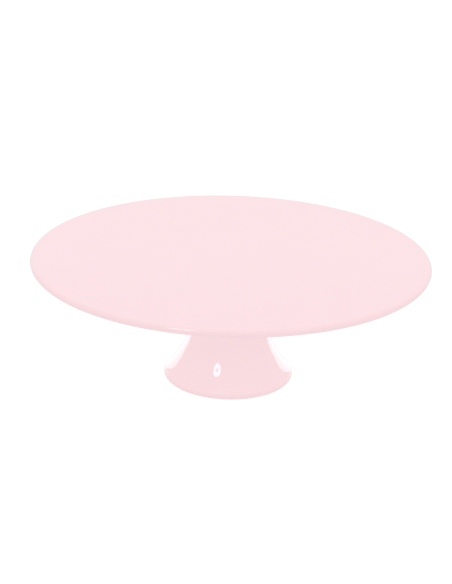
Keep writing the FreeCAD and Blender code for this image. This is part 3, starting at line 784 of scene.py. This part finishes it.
def cake_plate():
    """A flat plate with a half-round edge, a thicker rim, and a boss that carries on the flare."""
    rim_round, rim_land, rim_taper = 2.75 * MM, 9.0 * MM, 14.0 * MM
    web_face, rim_face = PLATE_TOP - 4.5 * MM, PLATE_TOP - 2 * rim_round
    rim_inner = PLATE_RADIUS - rim_round - rim_land
    lean = (BOSS_FACE - NECK_LEVEL) / FLARE_ROUND
    blend = (web_face - BOSS_FACE) / (1 - lean)
    boss, bevel = flare(BOSS_FACE), 0.25 * MM
    centre = (boss + blend * math.sqrt(1 - lean**2), web_face - blend)
    outline = [(0, BOSS_FACE), (boss - bevel, BOSS_FACE)]
    outline += arc(centre, blend, direction(centre, (boss, BOSS_FACE + bevel)), 90, 14)
    outline += ease((rim_inner - rim_taper, web_face), (rim_inner, rim_face), 10)
    outline += arc((PLATE_RADIUS - rim_round, rim_face + rim_round), rim_round, -90, 90, 26)
    outline.append((0, PLATE_TOP))
    piece = lathe("cake_plate_fine", held(outline, False), 360, False)
    holes = repeat(pin(INSERT_RADIUS, BOSS_FACE - MM, BOSS_FACE + 6 * MM), HUB_CIRCLE, HUB_COUNT)
    piece = combine(piece, holes, "DIFFERENCE")
    stand_for(piece, "cake_plate")
    let_light_past(piece)


def let_light_past(piece):
    """The soft light in the studio reaches the foot from all sides, as if the plate weren't over it."""
    piece.visible_diffuse = False
    piece.visible_shadow = False
    piece.visible_glossy = False


def plate_hub():
    """The disc under the plate: its spigot centres the upper race and holds the spindle's head."""
    rim, low, high = span("plate_hub")
    bore, spigot, head = 5.0 * MM, 10.0 * MM, 8.0 * MM
    flange, head_seat = low + 3.0 * MM, high - 3.5 * MM
    outline = [(bore, low), (spigot, low), (spigot, flange), (rim, flange), (rim, high)]
    outline += [(head, high), (head, head_seat), (bore, head_seat)]
    piece = turned("plate_hub", outline, 0.3 * MM, 192)
    wide, cone = SMALL_HEAD, 1.37 * MM
    countersink = [(0, flange - MM), (wide, flange - MM), (wide, flange)]
    countersink += [(SMALL_HOLE, flange + cone), (SMALL_HOLE, high + MM), (0, high + MM)]
    holes = repeat(lathe("pin", countersink, 64, False), HUB_CIRCLE, HUB_COUNT)
    stand_for(combine(piece, holes, "DIFFERENCE"), "plate_hub")


def hub_fasteners():
    _, low, high = span("plate_inserts")
    stand_for(repeat(insert("plate_inserts", low, high), HUB_CIRCLE, HUB_COUNT), "plate_inserts")
    _, face, tip = span("hub_screws")
    wide, land, cone = SMALL_HEAD, 0.15 * MM, 1.7 * MM
    head = [(0, face), (wide - land, face), (wide, face + land), (SMALL_THREAD, face + cone)]
    piece = screw("hub_screws", head, SMALL_THREAD, tip, 0.5 * MM)
    stand_for(repeat(piece, HUB_CIRCLE, HUB_COUNT), "hub_screws")


def spindle():
    """The turned spindle, with a centre mark in each end and a thread at its foot."""
    head, low, high = span("spindle")
    run, radius, pitch = 5.0 * MM, 4.0 * MM, 1.25 * MM
    step, head_seat = span("thrust_washer")[2], high - 3.5 * MM
    mark, deep, bevel, edge = 1.1 * MM, 1.6 * MM, 0.8 * MM, 0.4 * MM
    outline = [(0, low + deep), (mark, low), (radius - bevel, low)]
    outline += rows(radius, low + bevel, step, pitch / 12)
    steps = [(radius, step), (run, step), (run, head_seat), (head, head_seat)]
    outline += rounded(steps, 0.3 * MM, False)[1:]
    outline += [(head, high - edge), (head - edge, high), (mark, high), (0, high - deep)]
    piece = lathe("spindle_fine", held(outline, False, 0.3 * MM), 108, False)
    thread(piece, radius, low, step - 1.0 * MM, pitch)
    stand_for(piece, "spindle")


def spring_and_washer():
    outer, low, high = span("disc_spring")
    sheet, inner = 0.7 * MM, 5.15 * MM
    outline = [(inner, high - sheet), (outer, low), (outer, low + sheet), (inner, high)]
    stand_for(turned("disc_spring", outline), "disc_spring")
    outer, low, high = span("thrust_washer")
    stand_for(turned("thrust_washer", tube(4.0 * MM, outer, low, high)), "thrust_washer")


def lock_nut():
    """A hexagon with a round crown below it, which holds a nylon collar."""
    corner, low, high = span("lock_nut")
    flat, crown, bore, lip = 6.5 * MM, 5.6 * MM, 4.0 * MM, 4.4 * MM
    collar, collar_low, crown_top = span("nut_collar")
    past, chamfer = 8.5 * MM, 1.0 * MM
    outline = [(lip, low), (crown, low), (crown, crown_top), (flat, crown_top)]
    outline += [(past, crown_top + chamfer), (past, high - chamfer), (flat, high), (bore, high)]
    outline += [(bore, crown_top), (collar, crown_top), (collar, collar_low), (lip, collar_low)]
    piece = turned("lock_nut", outline, 0.25 * MM)
    corners = [(corner * math.cos(TURN * k / 6), corner * math.sin(TURN * k / 6)) for k in range(6)]
    piece = combine(piece, prism(corners, low - MM, high + MM), "INTERSECT")
    stand_for(piece, "lock_nut")
    outline = tube(bore, collar, collar_low, crown_top)
    stand_for(turned("nut_collar", outline, 0.15 * MM), "nut_collar")


foot_shell()
anti_slip_ring()
foot_cover()
cover_fasteners()
bearing_housing()
bushes()
housing_fasteners()
dust_seal()
races()
balls_and_cage()
cake_plate()
plate_hub()
hub_fasteners()
spindle()
spring_and_washer()
lock_nut()

# ------------------------------------------------------------------------------ floor and light

# The floor's own grey, its glow as the camera sees it, and its glow as light.
FLOOR_MATT = 0.2
FLOOR_GLOW = 0.86
FLOOR_LIGHT = 0.74

# The light from straight below and from straight above.
SKY_LOW = 0.68
SKY_HIGH = 1.06

# The round light: its strength, its direction, how far its dark middle and its edge are from its
# centre as seen from the stand, all in degrees, its distance, and how high its aim is above the floor.
DISH_GLOW = 6.0
DISH_AZIMUTH = -26.5
DISH_ELEVATION = 35.3
DISH_INNER = 2.0
DISH_OUTER = 7.4
DISH_DISTANCE = 1.6
DISH_LIFT = 0.03

# The sweep behind: its strength in the middle and at its ends, and its edges in degrees. Its top edge
# slopes down from the bend to the middle.
GLOW_MIDDLE = 0.3
GLOW_END = 1.45
GLOW_BOTTOM = -16.0
GLOW_TOP = 9.5
GLOW_BEND = 45.0
GLOW_SLOPE = 0.55


def emitter(name, strength, shading=None):
    """A white glow on top of the studio's own light behind it. Its strength may come from an
    attribute of the mesh."""
    material = bpy.data.materials.new(name)
    material.use_nodes = True
    tree = material.node_tree
    tree.nodes.clear()
    glow = tree.nodes.new("ShaderNodeEmission")
    glow.inputs["Strength"].default_value = strength
    if shading:
        level = tree.nodes.new("ShaderNodeAttribute")
        level.attribute_name = shading
        tree.links.new(level.outputs["Fac"], glow.inputs["Strength"])
    clear = tree.nodes.new("ShaderNodeBsdfTransparent")
    both = tree.nodes.new("ShaderNodeAddShader")
    out = tree.nodes.new("ShaderNodeOutputMaterial")
    tree.links.new(glow.outputs[0], both.inputs[0])
    tree.links.new(clear.outputs[0], both.inputs[1])
    tree.links.new(both.outputs[0], out.inputs["Surface"])
    return material


def only_in_reflections(piece):
    """A studio light that shows in gloss and adds no light of its own."""
    piece.visible_camera = False
    piece.visible_diffuse = False
    piece.visible_transmission = False
    piece.visible_shadow = False


def floor():
    """A plain white floor that glows a little, so that shadows on it stay faint. Seen from below it
    is clear, so that the foot's underside shows."""
    half, level = 4.0, -0.05 * MM
    mesh = bpy.data.meshes.new("floor")
    corners = [(-half, -half, level), (half, -half, level), (half, half, level), (-half, half, level)]
    mesh.from_pydata(corners, [], [(0, 1, 2, 3)])
    piece = link("floor", mesh)
    material = bpy.data.materials.new("floor")
    material.use_nodes = True
    tree = material.node_tree
    shader = tree.nodes["Principled BSDF"]
    shader.inputs["Base Color"].default_value = (FLOOR_MATT, FLOOR_MATT, FLOOR_MATT, 1)
    shader.inputs["Roughness"].default_value = 1.0
    shader.inputs["Specular IOR Level"].default_value = 0.0
    shader.inputs["Emission Color"].default_value = (1, 1, 1, 1)
    ray = tree.nodes.new("ShaderNodeLightPath")
    glow = tree.nodes.new("ShaderNodeMapRange")
    glow.inputs["To Min"].default_value = FLOOR_LIGHT
    glow.inputs["To Max"].default_value = FLOOR_GLOW
    tree.links.new(ray.outputs["Is Camera Ray"], glow.inputs["Value"])
    tree.links.new(glow.outputs["Result"], shader.inputs["Emission Strength"])
    clear = tree.nodes.new("ShaderNodeBsdfTransparent")
    mix = tree.nodes.new("ShaderNodeMixShader")
    side = tree.nodes.new("ShaderNodeNewGeometry")
    tree.links.new(side.outputs["Backfacing"], mix.inputs["Fac"])
    tree.links.new(shader.outputs[0], mix.inputs[1])
    tree.links.new(clear.outputs[0], mix.inputs[2])
    tree.links.new(mix.outputs[0], tree.nodes["Material Output"].inputs["Surface"])
    mesh.materials.append(material)
    piece.visible_glossy = False


def sky():
    """White all round to the eye. As light it is brightest overhead and dimmest below."""
    world = bpy.data.worlds.new("studio")
    bpy.context.scene.world = world
    world.use_nodes = True
    tree = world.node_tree
    back = tree.nodes["Background"]
    place = tree.nodes.new("ShaderNodeTexCoord")
    split = tree.nodes.new("ShaderNodeSeparateXYZ")
    ramp = tree.nodes.new("ShaderNodeMapRange")
    ramp.inputs["From Min"].default_value = -1.0
    ramp.inputs["From Max"].default_value = 1.0
    ramp.inputs["To Min"].default_value = SKY_LOW
    ramp.inputs["To Max"].default_value = SKY_HIGH
    ray = tree.nodes.new("ShaderNodeLightPath")
    pick = tree.nodes.new("ShaderNodeMix")
    tree.links.new(place.outputs["Generated"], split.inputs[0])
    tree.links.new(split.outputs["Z"], ramp.inputs["Value"])
    tree.links.new(ray.outputs["Is Camera Ray"], pick.inputs["Factor"])
    tree.links.new(ramp.outputs["Result"], pick.inputs["A"])
    pick.inputs["B"].default_value = 1.0
    tree.links.new(pick.outputs["Result"], back.inputs["Strength"])
    back.inputs["Color"].default_value = (1, 1, 1, 1)


def toward(azimuth, elevation, distance):
    """A place in a direction from the stand. Azimuth 0 is in front of it and 90 is to its right."""
    a, e = math.radians(azimuth), math.radians(elevation)
    return Vector((math.sin(a) * math.cos(e), -math.cos(a) * math.cos(e), math.sin(e))) * distance


def beauty_dish():
    """A round light with a dark middle, in front and to the left."""
    segments, verts, faces = 64, [], []
    for edge in (DISH_INNER, DISH_OUTER):
        radius = DISH_DISTANCE * math.tan(math.radians(edge))
        for k in range(segments):
            angle = TURN * k / segments
            verts.append((radius * math.cos(angle), radius * math.sin(angle), 0))
    for k in range(segments):
        after = (k + 1) % segments
        faces.append((k, segments + k, segments + after, after))
    mesh = bpy.data.meshes.new("beauty_dish")
    mesh.from_pydata(verts, [], faces)
    mesh.materials.append(emitter("beauty_dish", DISH_GLOW))
    piece = link("beauty_dish", mesh)
    place = toward(DISH_AZIMUTH, DISH_ELEVATION, DISH_DISTANCE) + Vector((0, 0, DISH_LIFT))
    piece.location = place
    piece.rotation_euler = place.to_track_quat("Z", "Y").to_euler()
    only_in_reflections(piece)


def back_glow():
    """The bright sweep behind the stand, which shows along both sides of its foot. It is brightest at
    its two ends, where its top edge is highest, and it is screened off from the plate."""
    distance, half, steps, level = 1.5, 51.0, 34, 0.02
    verts, faces, glow = [], [], []
    for i in range(steps + 1):
        off = half * (2 * i / steps - 1)
        top = GLOW_TOP - GLOW_SLOPE * max(0.0, GLOW_BEND - abs(off))
        for elevation in (GLOW_BOTTOM, top):
            place = toward(180 + off, 0, distance)
            place.z = level + distance * math.tan(math.radians(elevation))
            verts.append(place)
            glow.append(GLOW_MIDDLE + (GLOW_END - GLOW_MIDDLE) * abs(off) / half)
    for i in range(steps):
        faces.append((2 * i, 2 * i + 1, 2 * i + 3, 2 * i + 2))
    mesh = bpy.data.meshes.new("back_glow")
    mesh.from_pydata(verts, [], faces)
    mesh.attributes.new("glow", "FLOAT", "POINT").data.foreach_set("value", glow)
    mesh.materials.append(emitter("back_glow", 1.0, "glow"))
    piece = link("back_glow", mesh)
    lit = bpy.data.collections.new("lit_from_behind")
    lit.objects.link(bpy.data.objects["foot_shell_fine"])
    piece.light_linking.receiver_collection = lit
    only_in_reflections(piece)


# ------------------------------------------------------------------------------------ camera

CAMERA_PLACE = (0.0, -1.0953, 0.4864)
CAMERA_PITCH = -20.993
CAMERA_YAW = 0.159
CAMERA_ROLL = 1.557
LENS = 98.82


def camera():
    data = bpy.data.cameras.new("camera")
    data.lens = LENS
    data.sensor_width = 36.0
    data.clip_start, data.clip_end = 0.05, 30.0
    piece = bpy.data.objects.new("camera", data)
    bpy.context.scene.collection.objects.link(piece)
    aim = Matrix.Rotation(math.radians(CAMERA_YAW), 4, "Z")
    aim @= Matrix.Rotation(math.radians(90 + CAMERA_PITCH), 4, "X")
    aim @= Matrix.Rotation(math.radians(CAMERA_ROLL), 4, "Z")
    piece.matrix_world = Matrix.Translation(CAMERA_PLACE) @ aim
    bpy.context.scene.camera = piece


floor()
sky()
beauty_dish()
back_glow()
camera()
bpy.context.scene.view_settings.view_transform = "Standard"
